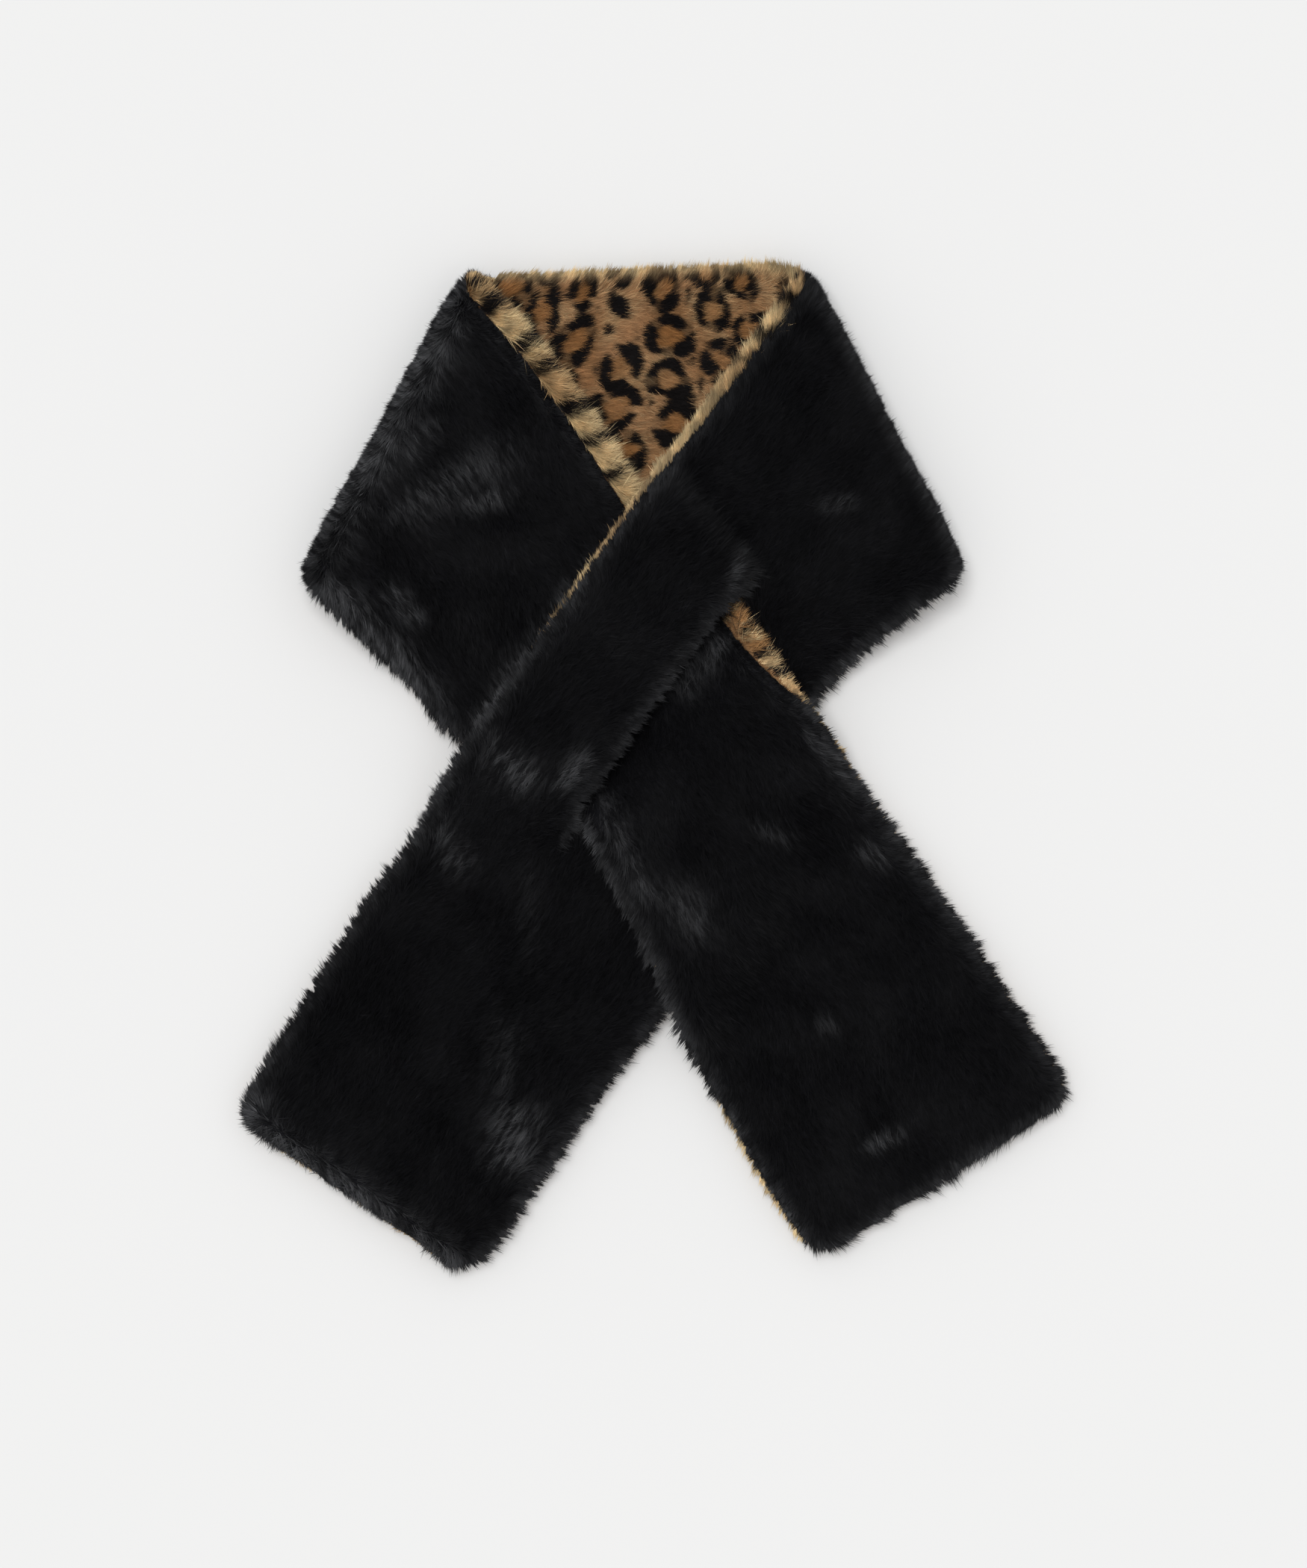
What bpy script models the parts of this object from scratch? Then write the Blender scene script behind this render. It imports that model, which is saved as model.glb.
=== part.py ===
"""Fur collar wrap, reversible: a black plush face and a leopard plush face sewn back to back, laid flat.

The band lies on its underside with both ends turned over diagonal folds, and one end is drawn through
the lengthwise slit in the other. Along its inner edge the leopard face is turned up over the seam.
Row frame: metres, +Z up, origin under the middle of the footprint, +Y towards the neck stretch.
"""
import math

import bmesh
import bpy
import numpy as np

for old in list(bpy.data.objects):
    bpy.data.objects.remove(old, do_unlink=True)

# Driving dimensions, millimetres
THICK = 16.0  # both plush faces together, backing and pile
FACE = THICK / 2.0
SEAM = 0.36  # between the two faces, and between two stretches end to end
LAYER_GAP = 0.6  # a stretch lying on the neck
SLIT_GAP = 2.0  # the stretches that lie on the two crossing layers
EDGE_ROLL = 12.0  # width of the rounding along every edge
EDGE_LIP = 1.0  # each face at the very edge
CORNER = 17.0  # radius of the tails' corners
DROP = 46.0  # run of a slope where a stretch comes down off the layer below it
DROP_START = 8.0
CROSS_RUN = 21.0  # run of the rise beside an edge that is crossed
CROSS_EASE = 24.0  # added to the run away from the slit, where the crossing half sinks towards its tail
EASE_SIDE = 22.0  # distance from the slit in which that is added
SLIT_OPEN = 24.0  # widest opening of the slit
SLIT_EASE = 16.0  # run from the slit's upper end in which its two edges part in height
ARM_TURN = 12.0  # leopard turned up along the left arm's inner edge
TAIL_TURN = 1.5  # the same where it has died away down the tail
TAIL_TURN_RUN = 95.0
TURN_GROOVE = 0.55  # share of the height left beside the seam of the turned edge
TURN_DIP = 3.0  # width of that groove
GATHER_DEEP = 2.6  # valleys where the tail is gathered by the slit
GATHER_RUN = 95.0
GATHER_SLANT = 0.16
GATHERS = ((34.0, 9.0, 0.7), (66.0, 12.0, 1.0), (101.0, 10.0, 0.8), (128.0, 8.0, 0.5))  # place, width, share

FIRST = THICK + LAYER_GAP
SECOND = THICK + SLIT_GAP

# Way out of each diagonal fold, and how finely each stretch is divided
LEFT_OUT = (-0.886, 0.463)
RIGHT_OUT = (0.878, 0.479)
NECK_ROWS = 11
FOLD_ROWS = 6
ARM_ROWS = 15
RIGHT_TAIL_ROWS = 17
LEFT_TAIL_ROWS = 11
SHOULDER_ROWS = 6
SLIT_ROWS = 15
HALF_MIDDLE = 2
END_STEPS = (12.0, 6.0, 2.0, 0.0)  # rows left before a tail's end

BLACK = (0.012, 0.012, 0.014)
LEOPARD = (0.46, 0.29, 0.15)

# Edge positions along each stretch, millimetres: upper edge x, y and lower edge x, y
NECK = (
    (-74.5, 243.8, -153.8, 93.0),
    (56.5, 243.8, 136.0, 96.0),
)
LEFT_ARM = (
    (-79.0, 236.0, -163.5, 79.0),
    (-53.0, 204.0, -144.0, 61.0),
    (-30.0, 172.0, -123.0, 41.0),
    (-8.0, 138.0, -102.0, 16.0),
    (15.5, 107.0, -72.0, -6.0),
    (40.0, 81.5, -38.0, -25.0),
)
RIGHT_TAIL = (
    (40.0, 81.5, -38.0, -25.0),
    (60.0, 54.0, -25.0, -51.0),
    (81.0, 28.0, -12.0, -77.0),
    (106.0, -9.0, 1.0, -105.0),
    (133.0, -47.0, 12.0, -133.0),
    (160.0, -86.0, 31.0, -167.0),
    (185.0, -123.0, 51.0, -203.0),
    (209.3, -159.2, 77.3, -242.6),
)
# Inner edge x, y, slit line x, y and outer edge x, y
RIGHT_ARM = (
    (63.0, 230.5, 102.0, 156.5, 142.0, 82.5),
    (37.0, 196.0, 77.0, 129.0, 118.0, 66.0),
    (11.0, 161.0, 53.0, 99.0, 92.0, 43.5),
    (-5.5, 139.0, 39.0, 80.0, 78.5, 27.0),
    (-35.5, 96.0, 14.5, 46.0, 66.0, -5.0),
    (-61.5, 59.0, -11.0, 11.0, 49.0, -41.0),
    (-91.0, 18.0, -37.0, -25.0, 31.0, -78.0),
    (-103.5, -4.0, -50.0, -44.0, 22.0, -98.0),
)
SLIT_ROW = 2
LEFT_TAIL = (
    (-103.5, -4.0, 22.0, -98.0),
    (-122.5, -37.0, 4.0, -126.0),
    (-139.0, -58.5, -17.0, -152.0),
    (-160.5, -94.0, -41.0, -186.0),
    (-184.0, -131.0, -64.0, -220.0),
    (-209.2, -169.7, -89.2, -251.6),
)


def smooth(t):
    t = np.clip(t, 0.0, 1.0)
    return t * t * (3.0 - 2.0 * t)


def curve(rows, t):
    """A row between the rows of a table, on a smooth curve through them."""
    rows = np.asarray(rows, float)
    last = len(rows) - 1
    t = min(max(t, 0.0), float(last))
    i = min(int(t), last - 1)
    f = t - i
    p1 = rows[i]
    p2 = rows[i + 1]
    p0 = rows[i - 1] if i > 0 else 2 * p1 - p2
    p3 = rows[i + 2] if i + 2 <= last else 2 * p2 - p1
    a = 2 * p1
    b = p2 - p0
    c = 2 * p0 - 5 * p1 + 4 * p2 - p3
    d = 3 * p1 - p0 - 3 * p2 + p3
    return 0.5 * (a + b * f + c * f * f + d * f**3)


def beside(x, y, line):
    """Signed distance of points from a polyline, positive on its left."""
    x = np.asarray(x, float)
    y = np.asarray(y, float)
    best = np.full(x.shape, 1e9)
    signed = np.zeros(x.shape)
    for (ax, ay), (bx, by) in zip(line[:-1], line[1:]):
        dx = bx - ax
        dy = by - ay
        t = np.clip(((x - ax) * dx + (y - ay) * dy) / (dx * dx + dy * dy), 0.0, 1.0)
        far = np.hypot(x - ax - t * dx, y - ay - t * dy)
        side = np.where(dx * (y - ay) - dy * (x - ax) >= 0.0, 1.0, -1.0)
        near = far < best
        signed = np.where(near, side * far, signed)
        best = np.where(near, far, best)
    return signed


def edge_line(rows, first, steps=6):
    count = (len(rows) - 1) * steps
    return [tuple(curve(rows, k / steps)[first : first + 2]) for k in range(count + 1)]


ARM_UPPER = edge_line(LEFT_ARM, 0)
ARM_LOWER = edge_line(LEFT_ARM, 2)[8:]
R_OUTER = edge_line(RIGHT_ARM, 4) + edge_line(LEFT_TAIL, 2)[1:]
SLIT_TOP = np.array(RIGHT_ARM[SLIT_ROW][2:4])
SLIT_END = np.array(RIGHT_ARM[-1][2:4])
SLIT_LONG = float(np.hypot(*(SLIT_END - SLIT_TOP)))
SLIT_DIR = (SLIT_END - SLIT_TOP) / SLIT_LONG
SLIT_SIDE = np.array([-SLIT_DIR[1], SLIT_DIR[0]])  # towards the outer edge


def opening(along):
    """How far the slit is open at a share of its length."""
    share = np.clip(along / SLIT_LONG, 0.0, 1.0)
    return SLIT_OPEN * smooth((share - 0.07) / 0.25) * smooth((0.95 - share) / 0.28)


def off_neck(x, y):
    """Height of the slope that comes down off the neck stretch."""
    low = 95.0 - np.asarray(y, float)
    return FIRST * (1.0 - smooth((low - DROP_START) / DROP))


def slit_place(x, y):
    px = np.asarray(x, float) - SLIT_TOP[0]
    py = np.asarray(y, float) - SLIT_TOP[1]
    along = px * SLIT_DIR[0] + py * SLIT_DIR[1]
    across = px * SLIT_SIDE[0] + py * SLIT_SIDE[1]
    return along, across


def floor_left_band(x, y):
    """Under the left arm, through the slit and down off the right arm's far half."""
    along, across = slit_place(x, y)
    wide = opening(along)
    rise = smooth((across + 10.0) / (wide + 20.0))
    off = 1.0 - smooth((beside(x, y, R_OUTER) - 2.0) / 30.0)
    return off_neck(x, y) + SECOND * rise * off


def floor_right_inner(x, y):
    """Under the half of the right arm that crosses over the left arm, and under the tail that follows it."""
    _, across = slit_place(x, y)
    run = CROSS_RUN + CROSS_EASE * smooth(-across / EASE_SIDE)
    upper = 1.0 - smooth((beside(x, y, ARM_UPPER) - 1.0) / CROSS_RUN)
    lower = 1.0 - smooth((-beside(x, y, ARM_LOWER) - 1.0) / run)
    return off_neck(x, y) + SECOND * upper * lower


def floor_right_outer(x, y):
    """Under the half beyond the slit, level with the other half where the slit begins."""
    along, _ = slit_place(x, y)
    level = 1.0 - smooth(along / SLIT_EASE)
    return off_neck(x, y) + level * (floor_right_inner(x, y) - off_neck(x, y))


def profile(e):
    part = np.clip(np.asarray(e, float) / EDGE_ROLL, 0.0, 1.0)
    return np.sqrt(1.0 - (1.0 - part) ** 2)


def half_thick(*edges):
    part = 1.0
    for e in edges:
        part = part * profile(e)
    return EDGE_LIP + (FACE - EDGE_LIP) * part


NEAR = (0.0, 2.0, 6.0, 12.0)


def columns(length, middle, start=0.0):
    """Distances from the upper edge across a row, closer together in the rounding at both edges."""
    near = start + np.array(NEAR)
    far = length - np.array(NEAR[::-1])
    inner = np.linspace(near[-1], far[0], middle + 2)[1:-1]
    return np.concatenate([near, inner, far])


class Row:
    """One line across a stretch, from its upper edge a to its lower edge b."""

    def __init__(self, a, b, floor, ends=1e3, angle=math.pi / 2.0, out=(0.0, 0.0), roll=0.0):
        self.a = np.asarray(a, float)
        self.b = np.asarray(b, float)
        self.length = float(np.hypot(*(self.b - self.a)))
        self.floor = floor
        self.ends = ends
        self.angle = angle
        self.out = np.asarray(out, float)
        self.roll = roll

    def place(self, at):
        """Points of the seam's surface at these distances from the upper edge, and the way up from it."""
        flat = self.a + (self.b - self.a) * (at / self.length)[:, None]
        rise = self.floor(flat[:, 0], flat[:, 1]) / 2.0
        mid_z = FACE + rise + rise * math.sin(self.angle)
        level = math.cos(self.angle)
        mid = np.column_stack([flat + self.out * (FIRST / 2.0 * level), mid_z])
        up = np.array([self.out[0] * level, self.out[1] * level, math.sin(self.angle)])
        return mid, np.tile(up, (len(at), 1))


def fold_rows(neck, arm, out, floor):
    """Rows round a diagonal fold, from the underside to the top of the arm, where the turned edge is full."""
    rows = []
    neck = np.asarray(neck, float)
    arm = np.asarray(arm, float)
    for k in range(FOLD_ROWS):
        share = k / FOLD_ROWS
        ends = neck + (arm - neck) * share
        angle = math.pi * (share - 0.5)
        roll = TAIL_TURN + (ARM_TURN - TAIL_TURN) * float(smooth(share))
        rows.append(Row(ends[0:2], ends[2:4], floor, angle=angle, out=out, roll=roll))
    return rows


def tail_rows(table, floor, spans, roll=None):
    """Rows of a tail, to an end with rounded corners."""
    last = len(table) - 1
    start = curve(table, 0.0)
    step = curve(table, 0.05) - start
    start = start + step * (SEAM / np.hypot(step[0], step[1])) * 1.2
    places = [(start, 1e3)]
    for k in range(1, spans + 1):
        places.append((curve(table, (last - 0.4) * k / spans), 1e3))
    end = np.asarray(table[-1], float)
    before = curve(table, last - 0.5)
    aim = (end - before)[0:2] + (end - before)[2:4]
    aim = aim / np.hypot(*aim)
    for left in END_STEPS:
        places.append((end - np.concatenate([aim, aim]) * left, left))
    rows = []
    for ends, left in places:
        a = ends[0:2]
        b = ends[2:4]
        if left < CORNER:
            inset = CORNER - math.sqrt(CORNER**2 - (CORNER - left) ** 2)
            across = (b - a) / np.hypot(*(b - a))
            a = a + across * inset
            b = b - across * inset
        gone = float(np.hypot(*(a - start[0:2])))
        rows.append(Row(a, b, floor, ends=left, roll=roll(gone) if roll else 0.0))
    return rows


def shell(name, cells, outer, inner):
    """A closed wall between an outer and an inner surface that share their cells."""
    outer = np.asarray(outer, float)
    inner = np.asarray(inner, float)
    count = len(outer)
    faces = [tuple(c) for c in cells]
    faces += [tuple(v + count for v in reversed(c)) for c in cells]
    seen = set()
    for c in cells:
        for k in range(len(c)):
            seen.add((c[k], c[(k + 1) % len(c)]))
    for p, q in sorted(seen):
        if (q, p) not in seen:
            faces.append((q, p, p + count, q + count))
    mesh = bpy.data.meshes.new(name)
    mesh.from_pydata((np.vstack([outer, inner]) * 0.001).tolist(), [], faces)
    bm = bmesh.new()
    bm.from_mesh(mesh)
    bmesh.ops.recalc_face_normals(bm, faces=bm.faces)
    bm.to_mesh(mesh)
    bm.free()
    for polygon in mesh.polygons:
        polygon.use_smooth = True
    material = bpy.data.materials.new(name + "_plush")
    material.use_nodes = True
    shader = material.node_tree.nodes["Principled BSDF"]
    colour = BLACK if name.endswith("black") else LEOPARD
    shader.inputs["Base Color"].default_value = (*colour, 1.0)
    shader.inputs["Roughness"].default_value = 0.8
    mesh.materials.append(material)
    thing = bpy.data.objects.new(name, mesh)
    bpy.context.scene.collection.objects.link(thing)
    return thing


def grid_cells(rows, cols):
    cells = []
    for i in range(rows - 1):
        for j in range(cols - 1):
            k = i * cols + j
            cells.append((k, k + 1, k + cols + 1, k + cols))
    return cells


def flat_floor(x, y):
    return np.zeros(np.shape(x))


def gather(mid):
    """Valleys that run from the slit down the tail and die away."""
    along, across = slit_place(mid[:, 0], mid[:, 1])
    fade = 1.0 - smooth((across - 4.0) / GATHER_RUN)
    swing = along + GATHER_SLANT * across
    valleys = 0.0
    for place, width, share in GATHERS:
        valleys = valleys + share * np.exp(-(((swing - place) / width) ** 2))
    return -GATHER_DEEP * fade * valleys


def plain_face(name, rows, side, middle=4, shape=None):
    """One plush face from edge to edge: side is 1 above the seam, -1 below it."""
    outer = []
    inner = []
    for row in rows:
        at = columns(row.length, middle)
        mid, up = row.place(at)
        e = np.minimum(at, row.length - at)
        half = half_thick(e, row.ends)
        if shape:
            half = half + shape(mid) * profile(e)
        outer.append(mid + up * (side * half)[:, None])
        inner.append(mid + up * (side * SEAM / 2.0))
    cells = grid_cells(len(rows), len(outer[0]))
    return shell(name, cells, np.vstack(outer), np.vstack(inner))


def turned_face(name, rows, middle=4, shape=None):
    """The upper face where the lower one is turned up over the upper edge: it starts past the turn."""
    outer = []
    inner = []
    for row in rows:
        at = columns(row.length, middle, row.roll + SEAM)
        mid, up = row.place(at)
        turn = TURN_GROOVE + (1.0 - TURN_GROOVE) * profile((at - at[0]) * 2.0)
        half = half_thick(row.length - at, row.ends) * turn
        if shape:
            half = half + shape(mid) * profile(np.minimum(at - at[0], row.length - at))
        outer.append(mid + up * half[:, None])
        inner.append(mid + up * (SEAM / 2.0))
    cells = grid_cells(len(rows), len(outer[0]))
    return shell(name, cells, np.vstack(outer), np.vstack(inner))


def turning_face(name, rows, middle=4):
    """The lower face, turned up over the upper edge as a soft roll."""
    upper = []
    lower = []
    for row in rows:
        roll = row.roll
        turn = roll * np.array((0.0, 0.15, 0.4, 0.7, 0.97, 1.0))
        rest = columns(row.length, middle, roll + SEAM)[1:]
        at = np.concatenate([turn, rest])
        mid, up = row.place(at)
        half = half_thick(np.minimum(at, row.length - at), row.ends)
        dip = 1.0 - (1.0 - TURN_GROOVE) * np.exp(-(((roll - at) / TURN_DIP) ** 2))
        high = np.where(at < roll * 0.99, half * dip, -SEAM / 2.0)
        upper.append(mid + up * high[:, None])
        lower.append(mid - up * half[:, None])
    cells = grid_cells(len(rows), len(upper[0]))
    return shell(name, cells, np.vstack(lower), np.vstack(upper))


def build_neck():
    """Neck stretch, leopard face up."""
    rows = []
    for k in range(NECK_ROWS):
        share = k / (NECK_ROWS - 1)
        ends = np.array(NECK[0]) + (np.array(NECK[1]) - np.array(NECK[0])) * share
        ends = ends + SEAM * (1 - 2 * share) * np.array([1.0, 0.0, 1.0, 0.0])
        rows.append(Row(ends[0:2], ends[2:4], flat_floor))
    plain_face("neck_leopard", rows, 1)
    plain_face("neck_black", rows, -1)


def build_left_arm():
    """Left arm, black face up, from its fold to the slit, with the leopard turned up along its inner edge."""
    rows = fold_rows(NECK[0], LEFT_ARM[0], LEFT_OUT, off_neck)
    for k in range(ARM_ROWS + 1):
        ends = curve(LEFT_ARM, (len(LEFT_ARM) - 1) * k / ARM_ROWS)
        rows.append(Row(ends[0:2], ends[2:4], floor_left_band, roll=ARM_TURN))
    turned_face("left_arm_black", rows)
    turning_face("left_arm_leopard", rows)


def build_right_tail():
    """Right tail, drawn up through the slit."""

    def roll(gone):
        return TAIL_TURN + (ARM_TURN - TAIL_TURN) * (1.0 - float(smooth(gone / TAIL_TURN_RUN)))

    rows = tail_rows(RIGHT_TAIL, floor_left_band, RIGHT_TAIL_ROWS, roll)
    turned_face("right_tail_black", rows, shape=gather)
    turning_face("right_tail_leopard", rows)


def build_left_tail():
    """Left tail, the right arm's free end."""
    rows = tail_rows(LEFT_TAIL, floor_right_inner, LEFT_TAIL_ROWS)
    plain_face("left_tail_black", rows, 1)
    plain_face("left_tail_leopard", rows, -1)


def right_arm_rows():
    """Rows from the fold past the slit: inner edge, slit and outer edge, how far round the fold, and
    whether the slit is cut there."""
    rows = []
    start = np.array(RIGHT_ARM[0])
    neck = np.array(NECK[1])
    neck = np.concatenate([neck[0:2], (neck[0:2] + neck[2:4]) / 2.0, neck[2:4]])
    for k in range(FOLD_ROWS):
        share = k / FOLD_ROWS
        rows.append((neck + (start - neck) * share, math.pi * (share - 0.5), False))
    for k in range(SHOULDER_ROWS):
        rows.append((curve(RIGHT_ARM, SLIT_ROW * k / SHOULDER_ROWS), math.pi / 2.0, False))
    for k in range(SLIT_ROWS + 1):
        t = SLIT_ROW + (len(RIGHT_ARM) - 1 - SLIT_ROW) * k / SLIT_ROWS
        rows.append((curve(RIGHT_ARM, t), math.pi / 2.0, k > 0))
    return rows


def build_right_arm():
    """Right arm, black face up, from its fold past the slit: one sheet whose two halves part at the slit."""
    lip = [tuple(SLIT_TOP), tuple(SLIT_END)]
    spread = [SLIT_TOP + SLIT_DIR * d + SLIT_SIDE * opening(d) for d in np.linspace(0.0, SLIT_LONG, 25)]
    spread = [tuple(p) for p in spread]
    mids = []
    ups = []
    halves = []
    index = {}
    counts = {}
    rows = right_arm_rows()
    for i, (ends, angle, cut) in enumerate(rows):
        a = ends[0:2]
        s = ends[2:4]
        b = ends[4:6]
        along = float((s - SLIT_TOP) @ SLIT_DIR)
        if angle == math.pi / 2.0 and along >= -1.0:
            s = SLIT_TOP + SLIT_DIR * along
        far_s = s + SLIT_SIDE * (float(opening(along)) + SEAM) if cut else s
        for side, p, q, line in (("in", a, s, lip), ("out", far_s, b, spread)):
            beyond = cut and side == "out"
            out = RIGHT_OUT if angle < math.pi / 2.0 else (0.0, 0.0)
            row = Row(p, q, floor_right_outer if beyond else floor_right_inner, angle=angle, out=out)
            at = columns(row.length, HALF_MIDDLE)
            mid, up = row.place(at)
            edge = at if side == "in" else row.length - at
            slit = np.abs(beside(mid[:, 0], mid[:, 1], line))
            half = half_thick(edge, slit)
            counts[side] = len(at)
            for j in range(len(at)):
                if side == "out" and j == 0 and not cut:
                    index[(i, side, 0)] = index[(i, "in", counts["in"] - 1)]
                    continue
                index[(i, side, j)] = len(mids)
                mids.append(mid[j])
                ups.append(up[j])
                halves.append(half[j])
    cells = []
    for i in range(len(rows) - 1):
        for side in ("in", "out"):
            for j in range(counts[side] - 1):
                corners = ((i, side, j), (i, side, j + 1), (i + 1, side, j + 1), (i + 1, side, j))
                cells.append(tuple(index[c] for c in corners))
    mids = np.array(mids)
    ups = np.array(ups)
    halves = np.array(halves)[:, None]
    shell("right_arm_black", cells, mids + ups * halves, mids + ups * (SEAM / 2.0))
    shell("right_arm_leopard", cells, mids - ups * halves, mids - ups * (SEAM / 2.0))


build_neck()
build_left_arm()
build_right_arm()
build_left_tail()
build_right_tail()
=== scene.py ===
"""Fur collar wrap in its scene: thin cloth shells on the solids' form, a pile of separate hairs, and
a studio. Lengths are in millimetres until they go into a mesh."""
import math
from collections import namedtuple

import bpy
import numpy as np
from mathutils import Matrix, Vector
from mathutils.bvhtree import BVHTree


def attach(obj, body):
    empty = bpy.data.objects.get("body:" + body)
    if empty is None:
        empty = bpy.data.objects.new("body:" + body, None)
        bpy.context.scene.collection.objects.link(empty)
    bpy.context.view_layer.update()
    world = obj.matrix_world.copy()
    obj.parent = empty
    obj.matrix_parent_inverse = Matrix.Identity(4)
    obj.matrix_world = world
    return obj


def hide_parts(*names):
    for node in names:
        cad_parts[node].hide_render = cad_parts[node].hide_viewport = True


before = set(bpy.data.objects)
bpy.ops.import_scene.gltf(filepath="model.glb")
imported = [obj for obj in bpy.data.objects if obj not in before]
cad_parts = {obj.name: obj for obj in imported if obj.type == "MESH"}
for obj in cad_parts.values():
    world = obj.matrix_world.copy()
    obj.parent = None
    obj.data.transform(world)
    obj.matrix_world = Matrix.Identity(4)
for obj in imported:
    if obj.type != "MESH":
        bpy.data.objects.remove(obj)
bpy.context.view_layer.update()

# ---- the garment's measures
MM = 0.001  # a millimetre in metres
FAR = 1e3  # further than any edge
THICK = 16.0  # one layer, two faces back to back
FACE = THICK / 2.0
SEAM = 0.36  # between a layer's faces
FIRST = THICK + 0.6  # from the neck stretch's layer to the arms'
SECOND = THICK + 2.0  # from layer to layer at the crossing
CORNER = 17.0  # radius at the tails' ends
NECK_LOW = 95.0  # y of the neck stretch's lower edge
DROP = 46.0  # run of the slope from the neck stretch down to the surface
DROP_START = 8.0  # from the neck stretch's edge
CROSS_RUN = 21.0  # run of the right arm's rise over the left band
CROSS_EASE = 24.0  # how much longer the run down is away from the slit
EASE_SIDE = 22.0  # from the slit to where it is longest
SLIT_OPEN = 24.0  # at its widest
SLIT_EASE = 16.0  # along the slit until the half beyond it lies low
ARM_TURN = 12.0  # how wide the left arm's edge is turned up
TAIL_TURN = 1.5  # the same at the right tail's end
TAIL_TURN_RUN = 95.0  # along the tail from the one to the other

# The cloth under the pile
PILE = 4.2  # from the cloth up to the solid's surface
CORE = FACE - PILE  # one face's cloth at its middle
CORE_LIP = 0.9  # the same at its edge
CORE_ROLL = 9.0
INSET = 4.6  # the cloth's edge inside the solid's edge
TURN_INSET = 3.0  # the same where the leopard face is turned up
PALE_EDGE = 5.5  # leopard left bare along the right arm's inner edge
STEP = 5.0  # from row to row of the cloth's grid
NECK_ROWS = 40
FOLD_ROWS = 12
ARM_ROWS = 39  # past the left fold
SHOULDER_ROWS = 17  # from the right fold to the slit
COLUMNS = 28  # across the band
SLIT_COLUMNS = 15  # across each half of the right arm
TURN_STEPS = (0.0, 0.12, 0.3, 0.55, 0.8, 0.96, 1.0)  # the grid's columns across the turned-up edge
CREASE_FADE = 14.0  # from an edge in to a crease's full depth
CREASE_RISE = 1.2  # the most that the cloth rises between creases
UNDER_SHIFT = 0.6  # the most that a lower face moves
OUTWARD = 2.0  # how strongly the pile turns outwards along a free edge
FOLD_FAN = 0.8  # how far the pile of a fold leans out of it

# The folds' ways out
LEFT_OUT = (-0.886, 0.463)
RIGHT_OUT = (0.878, 0.479)

# Upper edge x, y and lower edge x, y
NECK = ((-74.5, 241.0, -153.8, 93.0), (56.5, 245.8, 136.0, 96.0))
LEFT_ARM = (
    (-79, 233.8, -163.5, 79),
    (-53, 204, -144, 61),
    (-30, 172, -123, 41),
    (-8, 138, -102, 16),
    (15.5, 107, -72, -6),
    (40, 81.5, -38, -25),
)
RIGHT_TAIL = (
    LEFT_ARM[-1],
    (60, 54, -25, -51),
    (81, 28, -12, -77),
    (106, -9, 1, -105),
    (133, -47, 12, -133),
    (160, -86, 31, -167),
    (185, -123, 51, -203),
    (209.3, -159.2, 77.3, -242.6),
)
# Inner edge x, y, slit x, y and outer edge x, y
RIGHT_ARM = (
    (63, 232, 102, 156.5, 142, 82.5),
    (37, 196, 77, 129, 118, 66),
    (11, 161, 53, 99, 92, 43.5),
    (-5.5, 139, 39, 80, 78.5, 27),
    (-35.5, 96, 14.5, 46, 66, -5),
    (-61.5, 59, -11, 11, 49, -41),
    (-91, 18, -37, -25, 31, -78),
    (-103.5, -4, -50, -44, 22, -98),
)
SLIT_ROW = 2
LEFT_TAIL = (
    RIGHT_ARM[-1][0:2] + RIGHT_ARM[-1][4:6],
    (-122.5, -37, 4, -126),
    (-139, -58.5, -17, -152),
    (-160.5, -94, -41, -186),
    (-184, -131, -64, -220),
    (-209.2, -169.7, -89.2, -251.6),
)

# Soft troughs in the cloth: from x, y to x, y, half width and depth
CREASES = (
    (40, 84, 45, 112, 7, 2.2),
    (34, 62, 96, -30, 9, 2),
    (14, 36, 62, -62, 11, 2.4),
    (-8, 6, 34, -72, 9, 1.8),
    (-98, 112, -52, 128, 10, 1.8),
    (-126, 92, -104, 60, 9, 2),
    (-70, 16, -40, -14, 8, 1.8),
    (-44, 20, -22, -6, 7, 1.5),
    (-76, -150, -58, -206, 10, 1.6),
    (86, 134, 104, 120, 9, 1.2),
    (104, -176, 124, -186, 8, 1.2),
)

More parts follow.
